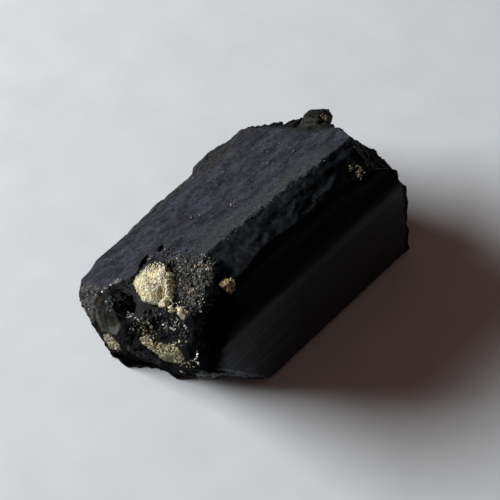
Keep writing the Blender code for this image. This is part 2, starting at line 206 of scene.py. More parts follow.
def points_of(mesh):
    """The mesh's points, in millimetres and drawing coordinates."""
    co = np.empty(len(mesh.vertices) * 3, np.float32)
    mesh.vertices.foreach_get("co", co)
    return (co.reshape(-1, 3) / MM + ORIGIN).astype(np.float32)


def normals_of(mesh):
    """The mesh's outward directions, point by point."""
    no = np.empty(len(mesh.vertices) * 3, np.float32)
    mesh.vertex_normals.foreach_get("vector", no)
    return no.reshape(-1, 3)


def direction(azimuth, elevation):
    """A direction of length 1, from degrees round the vertical from +X and degrees above the horizontal."""
    a, e = math.radians(azimuth), math.radians(elevation)
    return np.array((math.cos(a) * math.cos(e), math.sin(a) * math.cos(e), math.sin(e)))


def face_out(name):
    """The outward direction of a prism face."""
    a = math.radians(FACES[name][0])
    return np.array((0.0, math.cos(a), math.sin(a)))


# ---- where things lie on the stone ----

NEAR_OUT = direction(222.0, 52.0)  # squarely out of the near break
NEAR_ACROSS = np.cross((0.0, 0.0, 1.0), NEAR_OUT)
NEAR_ACROSS /= np.linalg.norm(NEAR_ACROSS)
NEAR_UP = np.cross(NEAR_OUT, NEAR_ACROSS)
FLASH_OUT = (-0.560, 0.270, 0.784)  # about halfway between the light and the camera


def across_break(where):
    """Coordinates of points in the plane that faces the near break squarely."""
    where = np.asarray(where, np.float32)
    return np.stack([where @ NEAR_ACROSS, where @ NEAR_UP], -1)


def inside_outline(where, outline):
    """How far inside a closed outline of the near break points lie, seen squarely to it."""
    spots, corners = across_break(where), np.array(outline)
    nearest = np.full(len(spots), 1e9)
    within = np.zeros(len(spots), bool)
    for p, q in zip(corners, np.roll(corners, -1, 0)):
        side = q - p
        t = np.clip(((spots - p) @ side) / (side @ side), 0.0, 1.0)
        nearest = np.minimum(nearest, np.linalg.norm(spots - (p + t[:, None] * side), axis=1))
        crosses = (p[1] > spots[:, 1]) != (q[1] > spots[:, 1])
        reach = p[0] + (spots[:, 1] - p[1]) * side[0] / (side[1] if side[1] else 1e-9)
        within ^= crosses & (spots[:, 0] < reach)
    return np.where(within, nearest, -nearest)


def in_ball(where, ball):
    """How far inside a ball, given as (middle, radius), points lie."""
    return ball[1] - np.linalg.norm(where - np.asarray(ball[0]), axis=1)


# Outlines on the near break, as corners across and up the plane that faces it squarely.
FELDSPAR = [
    (-21.7, 0.3), (-20.9, 2.3), (-19.5, 3.8), (-18.0, 4.8), (-16.2, 5.4), (-14.5, 4.8), (-13.1, 3.6),
    (-12.3, 1.8), (-12.0, -0.3), (-12.1, -2.3), (-12.6, -3.6), (-14.0, -4.7), (-15.9, -4.7), (-17.8, -4.2),
    (-19.6, -3.2), (-20.6, -1.9),
]
TIP = [
    (-35.5, -3.6), (-34.5, 0.1), (-32.2, 0.4), (-28.9, -0.8), (-30.4, -3.1), (-31.3, -5.9), (-32.2, -8.7),
    (-34.6, -7.8),
]
WALL = [
    (-28.7, -1.0), (-24.7, 1.1), (-23.4, -0.3), (-26.6, -2.4), (-27.3, -4.4), (-26.2, -7.2), (-25.2, -9.6),
    (-26.2, -11.9), (-29.6, -10.9), (-31.2, -7.7), (-31.0, -4.9), (-30.1, -2.8),
]
# The ledge, where the upper face meets the broken tip: a real edge, whose light grey skin is a painted
# highlight along it.
LEDGE_HIGHLIGHT = [(-29.5, -1.2), (-27.6, 0.0), (-24.8, 1.6), (-24.2, 0.9), (-26.7, -0.7), (-28.5, -1.9)]
# The hollow: a black cavity, whose outline runs on along the feldspar's lower edge, so that its dark skin
# there is painted shade, the shadow between the two.
HOLLOW_AND_SHADOW_GAP = [
    (-27.4, -3.5), (-26.0, -1.5), (-24.1, 0.1), (-22.2, -0.3), (-20.9, -2.2), (-19.0, -3.8), (-17.2, -5.0),
    (-15.3, -5.7), (-17.6, -7.3), (-20.9, -7.7), (-23.2, -7.7), (-26.0, -6.3),
]
# The cheek, where the near break turns into the face below: its near-black, dull skin is painted shade,
# standing in for the shade the real surface there lies in.
SHADED_CHEEK = [
    (-8.0, -6.0), (-6.0, -3.3), (-4.2, -0.6), (-2.8, 2.2), (-1.6, 5.2), (0.8, 4.0), (1.4, -2.0), (2.4, -5.5),
    (0.8, -10.0), (-1.0, -13.5), (-1.5, -17.5), (-1.5, -22.6), (-4.9, -20.3), (-8.2, -17.6), (-8.8, -13.4),
    (-9.0, -9.0),
]
FRINGE = [
    (-7.4, -20.0), (-3.7, -20.3), (1.8, -19.8), (7.8, -20.1), (9.1, -22.4), (5.0, -23.8), (-1.4, -24.2),
    (-6.5, -23.7),
]
GRAINY = [
    (-16.9, 7.6), (-13.9, 8.2), (-9.5, 8.0), (-5.4, 7.1), (-2.4, 5.6), (-3.2, 2.1), (-5.0, -1.9),
    (-7.4, -5.8), (-8.8, -7.0), (-10.2, -4.6), (-11.3, -1.0), (-11.5, 2.2), (-12.8, 4.4), (-15.5, 6.2),
]
REDDISH = [(-10.3, 0.1), (-8.5, 0.3), (-6.7, -1.5), (-7.6, -2.7), (-9.4, -1.5)]
CENTRAL = [
    (-17.8, -4.8), (-14.4, -6.2), (-7.5, -7.6), (-7.8, -11.5), (-9.6, -14.0), (-13.3, -12.6), (-18.3, -11.2),
    (-21.0, -11.7), (-22.9, -10.7), (-21.9, -7.5),
]
TAIL = [
    (-15.4, -3.6), (-13.6, -3.2), (-11.8, -4.1), (-10.2, -3.4), (-8.6, -4.1), (-7.7, -5.9), (-9.5, -6.8),
    (-11.3, -6.2), (-13.2, -6.1), (-14.8, -5.0),
]
OLIVE = [(-20.7, -8.1), (-18.4, -8.3), (-17.3, -10.0), (-16.6, -12.7), (-18.5, -13.2), (-20.3, -11.3)]
STRIPES = [(-11.9, -17.3), (-9.1, -17.1), (-6.4, -14.8), (-5.5, -16.2), (-7.3, -18.5), (-10.5, -19.1)]
MICA = [
    (-20.4, -12.4), (-18.8, -11.7), (-17.2, -13.3), (-14.9, -13.8), (-12.4, -13.3), (-10.8, -14.9),
    (-10.1, -16.7), (-11.0, -17.9), (-13.7, -17.4), (-16.7, -15.6), (-19.0, -14.0),
]
MICA_EDGE = [
    (-20.0, -12.9), (-18.0, -14.8), (-15.7, -16.1), (-13.4, -17.5), (-11.1, -18.0), (-11.5, -17.1),
    (-13.8, -16.2), (-16.1, -15.0), (-18.4, -13.4),
]
TAN = [(-29.4, -12.1), (-27.6, -11.8), (-25.3, -14.1), (-25.6, -15.6), (-27.6, -15.2)]
RIM = [
    (-23.7, -14.2), (-21.8, -15.4), (-18.8, -16.1), (-15.8, -17.5), (-14.4, -18.7), (-15.8, -18.9),
    (-19.1, -17.3), (-22.3, -16.8), (-23.7, -15.4),
]
# The recess below the rim: a shallow real cavity, whose near-black, dull skin is painted shade.
SHADED_RECESS = [
    (-27.1, -15.9), (-25.0, -15.9), (-22.9, -17.6), (-19.4, -18.1), (-16.1, -19.5), (-11.0, -21.8),
    (-16.1, -23.1), (-20.8, -22.6), (-27.5, -20.1),
]
# The feldspar patch is fuller than in the CAD, and leans towards the light.
FILL_MIDDLE = (-14.9, -0.2)  # across and up the break
FILL_RADIUS, FILL_CORE, FILL_HEIGHT = 3.8, 0.8, 1.0
TILT_FROM, TILT_SLOPE, TILT_MOST = -20.0, 0.22, 1.8  # from where across the break, how steeply, and at most
# Balls: (middle, radius).
SIDE_GOLD = ((-18.6, -17.2, 32.4), 1.9)
FAR_GOLD = (
    ((27.0, -16.8, 32.3), 0.9), ((26.5, -17.6, 32.0), 1.0),
    ((25.9, -18.3, 31.7), 0.8), ((25.5, -15.6, 32.6), 0.6),
)
KNOB_STREAK = ((39.6, 3.6, 23.8), 1.3)
# Flakes that flash in the light, and small pale specks.
FLASHES = [
    (-24.5, -14.3, 29.9), (-26.2, -12.3, 26.7), (-26.1, -14.1, 28.9), (-26.9, -16.5, 30.2),
    (-29.9, -14.8, 26.0), (-32.5, -20.1, 20.9), (-30.5, -13.3, 7.6), (-30.9, 9.4, 11.2),
    (-28.3, 4.0, 11.4), (-29.1, -10.1, 20.9), (-27.4, -4.9, 15.3), (-32.1, -20.4, 23.2),
    (-26.4, -23.8, 12.5), (-26.2, -12.9, 27.4), (-18.0, -7.8, 31.1),
]
SPECKS = [
    (-4.2, 20.3, 11.6), (2.2, 19.4, 12.3), (-1.4, 7.6, 21.2), (-3.0, 8.8, 20.2), (-6.7, 10.9, 18.6),
    (15.2, 15.4, 15.3), (9.9, 13.0, 17.0), (13.1, 23.2, 9.3), (2.7, 1.0, 26.1), (2.9, 0.6, 26.4),
    (-1.2, -1.2, 27.7), (25.5, 1.4, 25.8), (30.3, -13.4, 33.2),
]
RINGS_MIDDLE, RINGS_PITCH = (-27.2, 7.2, 12.6), 1.5  # the concentric ridges in the hollow

# Where one place passes into the next: where the second begins, and where it is full.
BREAK_DEPTH = (0.45, 1.0)  # below the whole prism's surface
# Along x:
NEAR_BREAK = (-9.0, -11.0)
FAR_BREAK = (24.0, 27.0)
FAR_END = (34.5, 36.0)
GREEN_END = (31.0, 20.0)
STREAKED_END = (2.0, -16.0)
KNOB_X, KNOB_Y, KNOB_Z = (33.0, 34.0), (0.0, 1.0), (19.0, 20.0)
# Round the section, past its corners:
PAST_LEFT = (-0.3, 0.5)
PAST_EDGE = (-0.1, 0.35)
PAST_RIDGE = (-0.2, 0.5)
PAST_RIGHT = (-1.2, 1.2)
PAST_LOW = (-0.6, 0.6)
GREEN_SIDE = (-5.0, -1.0)
BITTEN_FROM, BITTEN_TO, BITE = (-1.6, -0.2), (0.6, 0.0), 0.25  # chips out of the upper edge, and how deep
# How far the passages stray from a smooth line.
EDGE_STRAY, RIDGE_SHARE, GREEN_STRAY, PATCH_STRAY = 0.55, 0.6, 1.5, 0.6
# The near break's patches: outline, raggedness, and how far inside it the patch begins and is full.
PATCHES = {
    "grainy": (GRAINY, 1.6, (-0.6, 1.0)),
    "wall": (WALL, 0.7, (-0.5, 0.4)),
    "hollow": (HOLLOW_AND_SHADOW_GAP, 0.4, (-0.7, 0.1)),
    "rim": (RIM, 0.8, (-0.5, 0.5)),
    "shaded_recess": (SHADED_RECESS, 0.4, (-0.3, 0.3)),
    "reddish": (REDDISH, 1.4, (-0.1, 0.4)),
    "mica_edge": (MICA_EDGE, 0.6, (-0.3, 0.2)),
    "central": (CENTRAL, 0.8, (-0.6, 0.6)),
    "mica": (MICA, 1.0, (-0.2, 0.4)),
}
FELDSPAR_PATCH = (FELDSPAR, 1.0, (-0.2, 0.3))
TAIL_PATCH = (TAIL, 2.4, (0.3, 0.8))
TAN_PATCH = (TAN, 1.2, (-0.3, 0.2))
# Patches that also run past the break: the same, and the x where each begins and is full.
RUNNING_PATCHES = {
    "tip": (TIP, 1.2, (-0.6, 0.6), (-25.5, -27.0)),
    "ledge_highlight": (LEDGE_HIGHLIGHT, 0.8, (-0.2, 0.3), (-20.0, -22.0)),
    "fringe": (FRINGE, 0.8, (-0.4, 0.4), NEAR_BREAK),
    "cheek": (SHADED_CHEEK, 0.8, (-1.6, 1.2), NEAR_BREAK),
}
GOLD_PATCH, FAR_GOLD_PATCH = (1.0, (0.0, 0.5)), (1.2, (0.1, 0.5))  # the same, for balls

# How high each kind of roughness stands on each kind of surface. The kinds are in kinds_of_roughness.
RELIEF = {
    "upper": {"streaks": 0.02, "broad": 0.05, "wear": 0.035, "pits": -0.08},
    "bevel": {"big": 0.07, "mid": 0.05, "wear": 0.06, "level": -0.03},
    "smooth": {"streaks": 0.03, "broad": 0.05, "wear": 0.008},
    "hidden": {"big": 0.12, "mid": 0.05, "level": -0.05},
    "dark": {"lumps": 0.34, "big": 0.20, "mid": 0.10},
    "grainy": {"big": 0.20, "mid": 0.28, "small": 0.18},
    "pale": {"mid": 0.14, "small": 0.08, "level": 0.10},
    "wall": {"mid": 0.05, "lumps": 0.05},
    "hollow": {"rings": 0.22},
    "shaded_recess": {"lumps": 0.10},
    "far": {"big": 0.20, "mid": 0.08},
}


def stepped(x, steps):
    """The sum of some smooth steps along x."""
    return sum(amount * rise(x, start, end) for start, end, amount in steps)


def corner_between(first, second):
    """Where two of the section's faces meet, as (y, z)."""
    (a, da), (b, db) = FACES[first], FACES[second]
    a, b = math.radians(a), math.radians(b)
    det = math.sin(b - a)
    return SECTION_CENTRE + np.array(
        ((da * math.sin(b) - db * math.sin(a)) / det, (db * math.cos(a) - da * math.cos(b)) / det)
    )


UPPER_ANGLE = math.radians(FACES["upper"][0] - 90.0)
DOWN_LEFT = np.array((math.cos(UPPER_ANGLE), math.sin(UPPER_ANGLE)))
CORNER_RIGHT = corner_between("right_bevel", "right")
CORNER_LOW = corner_between("right", "right_under")
CORNER_LEFT = corner_between("upper", "left_bevel")


def bevel_edge(x):
    """The (y, z) of the edge between the upper face and the rough bevel, at each x."""
    moved = []
    for s in STATIONS:
        along = (s - BEVEL_STATIONS[0]) / (BEVEL_STATIONS[1] - BEVEL_STATIONS[0])
        share = 1.0 - min(1.0, max(0.0, along))
        jag = noise.noise(Vector((s / BEVEL_JAG_LENGTH, 3.0, SEED_EDGE)))
        jag += BEVEL_STEP_SHARE * noise.cell(Vector((s / BEVEL_JAG_LENGTH, 9.0, SEED_EDGE)))
        moved.append(BEVEL_WIDENING * share + BEVEL_JAG * jag)
    return corner_between("upper", "top_bevel") + np.interp(x, STATIONS, moved)[:, None] * DOWN_LEFT


def ridge_edge(x):
    """The (y, z) of the edge between the rough bevel and the face below it, at each x."""
    low = corner_between("top_bevel", "right_bevel")
    up_face = (low - CORNER_RIGHT) / np.linalg.norm(low - CORNER_RIGHT)
    return low + stepped(x, RIDGE_STEPS)[:, None] * up_face


def past(section, corner):
    """How far round the section, from the upper face towards the right, points lie past a corner."""
    spoke = corner - SECTION_CENTRE
    spoke = spoke / np.linalg.norm(spoke, axis=-1, keepdims=True)
    away = section - SECTION_CENTRE
    return spoke[..., 0] * away[:, 1] - spoke[..., 1] * away[:, 0]


def depth_below(section, widened, edge, ridge):
    """How deep points lie below the whole prism's surface."""
    side = (ridge - edge) / np.linalg.norm(ridge - edge, axis=1)[:, None]
    outside = [(section[:, 0] - edge[:, 0]) * side[:, 1] - (section[:, 1] - edge[:, 1]) * side[:, 0]]
    for name, (_, distance) in FACES.items():
        if name != "top_bevel":
            seen = widened if name.startswith("left") else section
            outside.append((seen - SECTION_CENTRE) @ face_out(name)[1:] - distance)
    return -np.max(outside, 0)


def face_places(where):
    """The masks of the prism's faces and breaks, by name, and how far past the upper edge points lie."""
    x, section = where[:, 0], where[:, 1:]
    edge, ridge = bevel_edge(x), ridge_edge(x)
    widened = section - np.stack([stepped(x, SIDE_STEPS), np.zeros(len(x))], 1)
    past_edge, past_ridge = past(section, edge), past(section, ridge)
    past_right, past_low = past(section, CORNER_RIGHT), past(section, CORNER_LOW)
    deep = rise(depth_below(section, widened, edge, ridge), *BREAK_DEPTH)
    near = deep * rise(x, *NEAR_BREAK)
    far = np.maximum(deep * rise(x, *FAR_BREAK), rise(x, *FAR_END))
    whole = (1.0 - near) * (1.0 - far)
    chipped = EDGE_STRAY * chips(where, 1.5, seed=5)
    at_edge, at_ridge = past_edge + chipped, past_ridge + RIDGE_SHARE * chipped
    upper = whole * rise(past(widened, CORNER_LEFT), *PAST_LEFT) * rise(at_edge, *PAST_EDGE[::-1])
    right = whole * rise(past_right, *PAST_RIGHT) * rise(past_low, *PAST_LOW[::-1])
    green = past_edge + GREEN_STRAY * layered(where, (5.0, 1.6, 1.6), seed=61, layers=3)
    return {
        "past_edge": past_edge,
        "near": near,
        "far": far,
        "knob": rise(x, *KNOB_X) * rise(section[:, 1], *KNOB_Z) * rise(section[:, 0], *KNOB_Y),
        "upper": upper,
        "green": upper * rise(green, *GREEN_SIDE) * rise(x, *GREEN_END),
        "bevel": whole * rise(at_edge, *PAST_EDGE) * rise(at_ridge, *PAST_RIDGE[::-1]),
        "right_bevel": whole * rise(at_ridge, *PAST_RIDGE) * rise(past_right, *PAST_RIGHT[::-1]),
        "right": right,
        "streaked": right * rise(x, *STREAKED_END),
    }


def places_on(where):
    """The mask of each place, in 0..1, by name, with `past_edge` and the feldspar's lift in millimetres."""
    places = face_places(where)
    near = places["near"]
    ragged = PATCH_STRAY * layered(where, 1.5, seed=71, layers=3)

    def patch(outline, raggedness, ends):
        return rise(inside_outline(where, outline) + raggedness * ragged, *ends)

    def ball_patch(ball, raggedness, ends):
        return rise(in_ball(where, ball) + raggedness * ragged, *ends)

    for name, shape in PATCHES.items():
        places[name] = near * patch(*shape)
    for name, (*shape, reach) in RUNNING_PATCHES.items():
        places[name] = rise(where[:, 0], *reach) * patch(*shape)
    places["feldspar"] = near * np.maximum(patch(*FELDSPAR_PATCH), patch(*TAIL_PATCH))
    places["tan"] = patch(*TAN_PATCH)
    places["side_gold"] = ball_patch(SIDE_GOLD, *GOLD_PATCH)
    places["far_gold"] = np.max([ball_patch(ball, *FAR_GOLD_PATCH) for ball in FAR_GOLD], 0)
    places["knob_streak"] = ball_patch(KNOB_STREAK, *GOLD_PATCH)
    pale = ("feldspar", "mica", "tan", "side_gold", "far_gold")
    places["pale"] = np.maximum.reduce([places[name] for name in pale])
    flat = across_break(where)
    fill = FILL_HEIGHT * rise(np.linalg.norm(flat - FILL_MIDDLE, axis=1), FILL_RADIUS, FILL_CORE)
    tilt = np.clip(TILT_SLOPE * (flat[:, 0] - TILT_FROM), 0.0, TILT_MOST)
    places["lift"] = places["feldspar"] * (fill + tilt)
    return places


def kinds_of_roughness(where):
    """Each kind of roughness at each point, in about -1..1, by name."""
    from_rings = np.linalg.norm(where - np.asarray(RINGS_MIDDLE), axis=1)
    return {
        "big": chips(where, (2.6, 1.9, 1.9), seed=101),
        "mid": chips(where, 1.2, seed=111),
        "small": chips(where, 0.65, seed=121),
        "streaks": soft_noise(where, (9.0, 0.75, 0.75), seed=131),
        "broad": soft_noise(where, (14.0, 2.4, 2.4), seed=141),
        "wear": layered(where, 1.3, seed=151, layers=3),
        "pits": rise(layered(where, (1.6, 0.9, 0.9), seed=161, layers=2), 0.7, 1.0),
        "lumps": layered(where, 2.2, seed=171, layers=3),
        "rings": np.sin(from_rings * 2.0 * math.pi / RINGS_PITCH),
        "level": 1.0,
    }


def relief(where, places):
    """How far each point moves outwards."""
    kinds = kinds_of_roughness(where)
    rough = {}
    for surface_kind, heights in RELIEF.items():
        rough[surface_kind] = sum(height * kinds[kind] for kind, height in heights.items())
    near, far, upper, grainy = (places[name] for name in ("near", "far", "upper", "grainy"))
    smooth = places["right_bevel"] + places["right"]
    hidden = (1.0 - upper - places["bevel"] - smooth) * (1.0 - near)
    broken = 1.0 - places["pale"] - places["wall"] - places["shaded_recess"] - places["hollow"]
    total = upper * rough["upper"] + places["bevel"] * rough["bevel"] + smooth * rough["smooth"]
    total += np.clip(hidden, 0.0, 1.0) * rough["hidden"] * (1.0 - far)
    total += near * np.maximum(0.0, broken) * (grainy * rough["grainy"] + (1.0 - grainy) * rough["dark"])
    for name in ("pale", "wall", "hollow", "shaded_recess", "far"):
        total += places[name] * rough[name]
    total += places["lift"]
    bitten = rise(places["past_edge"], *BITTEN_FROM) * rise(places["past_edge"], *BITTEN_TO) * (1.0 - upper)
    total -= bitten * (1.0 - near) * (1.0 - far) * BITE
    return total


def in_cad_box(spots):
    """Spots in the frame's own millimetres, kept inside the box of the CAD."""
    return np.clip(spots, np.array(cad_low) / MM, np.array(cad_high) / MM)


def roughen(obj):
    """Moves each point of the object outwards by the relief."""
    smooth = points_of(obj.data)
    moved = smooth + normals_of(obj.data) * relief(smooth, places_on(smooth))[:, None]
    moved = in_cad_box(moved - ORIGIN)
    obj.data.vertices.foreach_set("co", (moved * MM).astype(np.float32).ravel())
    obj.data.update()


def thin_out(obj):
    """Merges triangles where the object is flattest, until it has no more than MOST_TRIANGLES."""
    triangles = sum(len(polygon.vertices) - 2 for polygon in obj.data.polygons)
    thin = obj.modifiers.new("thin", "DECIMATE")
    thin.ratio = min(1.0, MOST_TRIANGLES / triangles)
    bake(obj)


stone = fine_copy("tourmaline_crystal", "schorl_crystal")
roughen(stone)
thin_out(stone)
points = points_of(stone.data)
places = places_on(points)

# ---- materials ----


class Nodes:
    """Short ways to add shader nodes to one material."""

    def __init__(self, name):
        self.material = bpy.data.materials.new(name)
        self.material.use_nodes = True
        self.tree = self.material.node_tree
        self.shader = self.tree.nodes["Principled BSDF"]
        self.coordinates = self.tree.nodes.new("ShaderNodeTexCoord").outputs["Object"]

    def node(self, kind, **inputs):
        """A new shader node, with its inputs given by name."""
        made = self.tree.nodes.new("ShaderNode" + kind)
        for key, value in inputs.items():
            self.feed(made.inputs[key.replace("_", " ")], value)
        return made

    def feed(self, socket, value):
        """Gives a socket a plain value, or links another node's output to it."""
        if isinstance(value, bpy.types.NodeSocket):
            self.tree.links.new(value, socket)
        else:
            socket.default_value = value

    def mask(self, name):
        """One of the mesh's attributes, as a number."""
        made = self.tree.nodes.new("ShaderNodeAttribute")
        made.attribute_name = name
        return made.outputs["Fac"]

    def noise(self, size, detail=3.0, roughness=0.55, stretch=(1.0, 1.0, 1.0)):
        """Noise in 0..1 with features about `size` millimetres across."""
        mapped = self.node("Mapping", Vector=self.coordinates)
        mapped.inputs["Scale"].default_value = stretch
        made = self.node("TexNoise", Vector=mapped.outputs[0], Scale=1.0 / (size * MM), Detail=detail)
        made.inputs["Roughness"].default_value = roughness
        return made.outputs["Fac"]

    def cell_colours(self, size):
        """A random colour for each cell, the cells being about `size` millimetres across."""
        made = self.node("TexVoronoi", Vector=self.coordinates, Scale=1.0 / (size * MM))
        return made.outputs["Color"]

    def math(self, operation, a, b):
        """The sum, product or other operation of two numbers."""
        made = self.node("Math")
        made.operation = operation
        self.feed(made.inputs[0], a)
        self.feed(made.inputs[1], b)
        return made.outputs[0]

    def ramp(self, value, low, high, to_low=0.0, to_high=1.0):
        """to_low where the value is at most `low`, to_high where it is at least `high`, smooth between."""
        made = self.node("MapRange", Value=value)
        made.interpolation_type = "SMOOTHSTEP"
        made.inputs["From Min"].default_value = low
        made.inputs["From Max"].default_value = high
        made.inputs["To Min"].default_value = to_low
        made.inputs["To Max"].default_value = to_high
        return made.outputs[0]

    def mixed(self, kind, sockets, values):
        """A Mix node's output; sockets numbers its share, its two inputs and its output."""
        made = self.node("Mix")
        made.data_type = kind
        for socket, value in zip(sockets, values):
            self.feed(made.inputs[socket], value)
        return made.outputs[sockets[-1]]

    def mix(self, share, a, b):
        """Colour a where share is 0, b where it is 1."""
        return self.mixed("RGBA", (0, 6, 7, 2), (share, a, b))

    def blend(self, share, a, b):
        """Number a where share is 0, b where it is 1."""
        return self.mixed("FLOAT", (0, 2, 3, 0), (share, a, b))

    def bump(self, height, strength, distance):
        """Roughens the look by a height in 0..1, which stands for `distance` millimetres."""
        made = self.node("Bump", Height=height, Strength=strength, Distance=distance * MM)
        self.tree.links.new(made.outputs[0], self.shader.inputs["Normal"])


# What each place is made of, in the order laid on: the pattern its grains follow, the colours of its darker
# and lighter grains, its roughness, and how strongly it shines.
SKINS = {
    "upper": ("blotch", (0.0022, 0.0027, 0.0040), (0.0330, 0.0350, 0.0480), 0.60, 0.05),
    "green": ("fine", (0.0060, 0.0080, 0.0085), (0.0360, 0.0440, 0.0430), 0.55, 0.08),
    "bevel": ("mottle", (0.0003, 0.0005, 0.0008), (0.0088, 0.0120, 0.0148), 0.60, 0.04),
    "right_bevel": ("streak", (0.0004, 0.0005, 0.0010), (0.0009, 0.0013, 0.0022), 0.45, 0.05),
    "right": ("streak", (0.0016, 0.0030, 0.0055), (0.0060, 0.0100, 0.0150), 0.45, 0.22),
    "streaked": ("streak", (0.0030, 0.0055, 0.0080), (0.0220, 0.0360, 0.0460), 0.45, 0.24),
    "far": ("grain", (0.0004, 0.0005, 0.0005), (0.0035, 0.0040, 0.0036), 0.60, 0.04),
    "knob": ("fine", (0.0020, 0.0026, 0.0017), (0.0080, 0.0094, 0.0064), 0.55, 0.06),
    "knob_streak": ("grain", (0.0300, 0.0300, 0.0150), (0.2600, 0.2400, 0.1500), 0.60, 0.25),
    "near": ("grain", (0.0006, 0.0007, 0.0009), (0.0090, 0.0096, 0.0100), 0.75, 0.03),
    # The cheek's skin: painted shade, nearly black and without shine.
    "cheek": ("grain", (0.0003, 0.0003, 0.0004), (0.0040, 0.0046, 0.0056), 0.90, 0.0),
    "fringe": ("grain", (0.0020, 0.0030, 0.0040), (0.0800, 0.1000, 0.1250), 0.45, 0.20),
    "grainy": ("grain", (0.0008, 0.0010, 0.0010), (0.1100, 0.1120, 0.1000), 0.60, 0.08),
    "reddish": ("grain", (0.0060, 0.0045, 0.0040), (0.1800, 0.1250, 0.0950), 0.55, 0.16),
    "central": ("grain", (0.0003, 0.0003, 0.0004), (0.0100, 0.0125, 0.0150), 0.75, 0.02),
    "wall": ("mottle", (0.0070, 0.0090, 0.0088), (0.0760, 0.0840, 0.0760), 0.65, 0.02),
    "tip": ("grain", (0.0040, 0.0042, 0.0044), (0.0900, 0.0900, 0.0880), 0.50, 0.16),
    # The ledge's light grey: a painted highlight along the edge.
    "ledge_highlight": ("grain", (0.0100, 0.0100, 0.0100), (0.2000, 0.1950, 0.1850), 0.50, 0.20),
    # The hollow's skin: black schorl in the cavity, and painted shade where it runs along the feldspar.
    "hollow": ("fine", (0.0005, 0.0005, 0.0006), (0.0060, 0.0066, 0.0070), 0.25, 0.30),
    "rim": ("grain", (0.0040, 0.0034, 0.0046), (0.0700, 0.0600, 0.0680), 0.80, 0.03),
    # The recess's skin: painted shade, nearly black and without shine.
    "shaded_recess": ("fine", (0.0004, 0.0004, 0.0005), (0.0016, 0.0017, 0.0020), 0.90, 0.0),
    "feldspar": ("fine", (0.4000, 0.3700, 0.2200), (0.7000, 0.6700, 0.4800), 0.65, 0.25),
    "mica": ("grain", (0.0450, 0.0400, 0.0210), (0.3400, 0.3050, 0.1750), 0.45, 0.30),
    "mica_edge": ("grain", (0.1500, 0.1400, 0.0850), (0.6000, 0.5700, 0.4000), 0.50, 0.30),
    "tan": ("grain", (0.0700, 0.0560, 0.0380), (0.4200, 0.3600, 0.2600), 0.60, 0.25),
    "side_gold": ("grain", (0.0500, 0.0320, 0.0100), (0.3600, 0.3100, 0.1700), 0.50, 0.25),
    "far_gold": ("grain", (0.0120, 0.0115, 0.0070), (0.2000, 0.1900, 0.1250), 0.60, 0.10),
}
# Where no skin lies: the left-hand faces and the underside.
PLAIN, PLAIN_ROUGHNESS, PLAIN_SHINE = (0.006, 0.0063, 0.007), 0.55, 0.12
# A brown film in patches on the hollow's wall and on the broken tip.
STAIN, STAIN_SHARE = (0.055, 0.034, 0.020), 0.5
SCHORL_IOR = 1.6
MOTTLE_FINE, BLOTCH_FINE, BUMP_STREAKS = 0.4, 0.6, 0.3  # the second noise's share in each of these patterns


def opaque(colour):
    """A colour with full opacity added, as sockets take it."""
    return (*colour, 1.0)


def schorl_material():
    """The whole stone's material: the skins laid on one after another, each where its mask says."""
    n = Nodes("schorl")
    fine = n.noise(0.6, 5.0, 0.65)
    streak = n.noise(1.1, 3.0, 0.6, (0.06, 1.0, 1.0))
    ochre = n.ramp(n.noise(2.4, 3.0, 0.6), 0.48, 0.66)
    grain = n.node("SeparateColor", Color=n.cell_colours(0.5)).outputs[0]
    mottle = n.blend(MOTTLE_FINE, n.noise(2.6, 5.0, 0.65), fine)
    wide_blotch = n.noise(3.0, 4.0, 0.6, (0.6, 1.0, 1.0))
    blotch = n.blend(BLOTCH_FINE, wide_blotch, n.noise(0.7, 5.0, 0.7, (0.8, 1.0, 1.0)))
    patterns = {
        "fine": n.ramp(fine, 0.38, 0.68),
        "mottle": n.ramp(mottle, 0.36, 0.64),
        "streak": n.ramp(streak, 0.40, 0.72),
        "blotch": n.ramp(blotch, 0.40, 0.64),
        "grain": n.math("MULTIPLY", n.math("MULTIPLY", grain, grain), n.ramp(fine, 0.30, 0.62)),
    }
    colour, roughness, shine = opaque(PLAIN), PLAIN_ROUGHNESS, PLAIN_SHINE
    for name, (pattern, dark, light, rough, strength) in SKINS.items():
        share = n.mask(name)
        colour = n.mix(share, colour, n.mix(patterns[pattern], opaque(dark), opaque(light)))
        roughness = n.blend(share, roughness, rough)
        shine = n.blend(share, shine, strength)
    stained = n.math("MULTIPLY", n.math("MAXIMUM", n.mask("wall"), n.mask("tip")), ochre)
    colour = n.mix(n.math("MULTIPLY", stained, STAIN_SHARE), colour, opaque(STAIN))
    n.feed(n.shader.inputs["Base Color"], colour)
    n.feed(n.shader.inputs["Roughness"], roughness)
    n.feed(n.shader.inputs["Specular IOR Level"], shine)
    n.shader.inputs["IOR"].default_value = SCHORL_IOR
    n.bump(n.blend(BUMP_STREAKS, fine, streak), 0.30, 0.12)
    return n.material


for name in SKINS:
    attribute = stone.data.attributes.new(name, "FLOAT", "POINT")
    attribute.data.foreach_set("value", places[name].astype(np.float32))
stone.data.materials.clear()
stone.data.materials.append(schorl_material())
for polygon in stone.data.polygons:
    polygon.use_smooth = True
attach(stone, "root")
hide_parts("tourmaline_crystal")

# ---- grains and flakes that ride on the stone ----

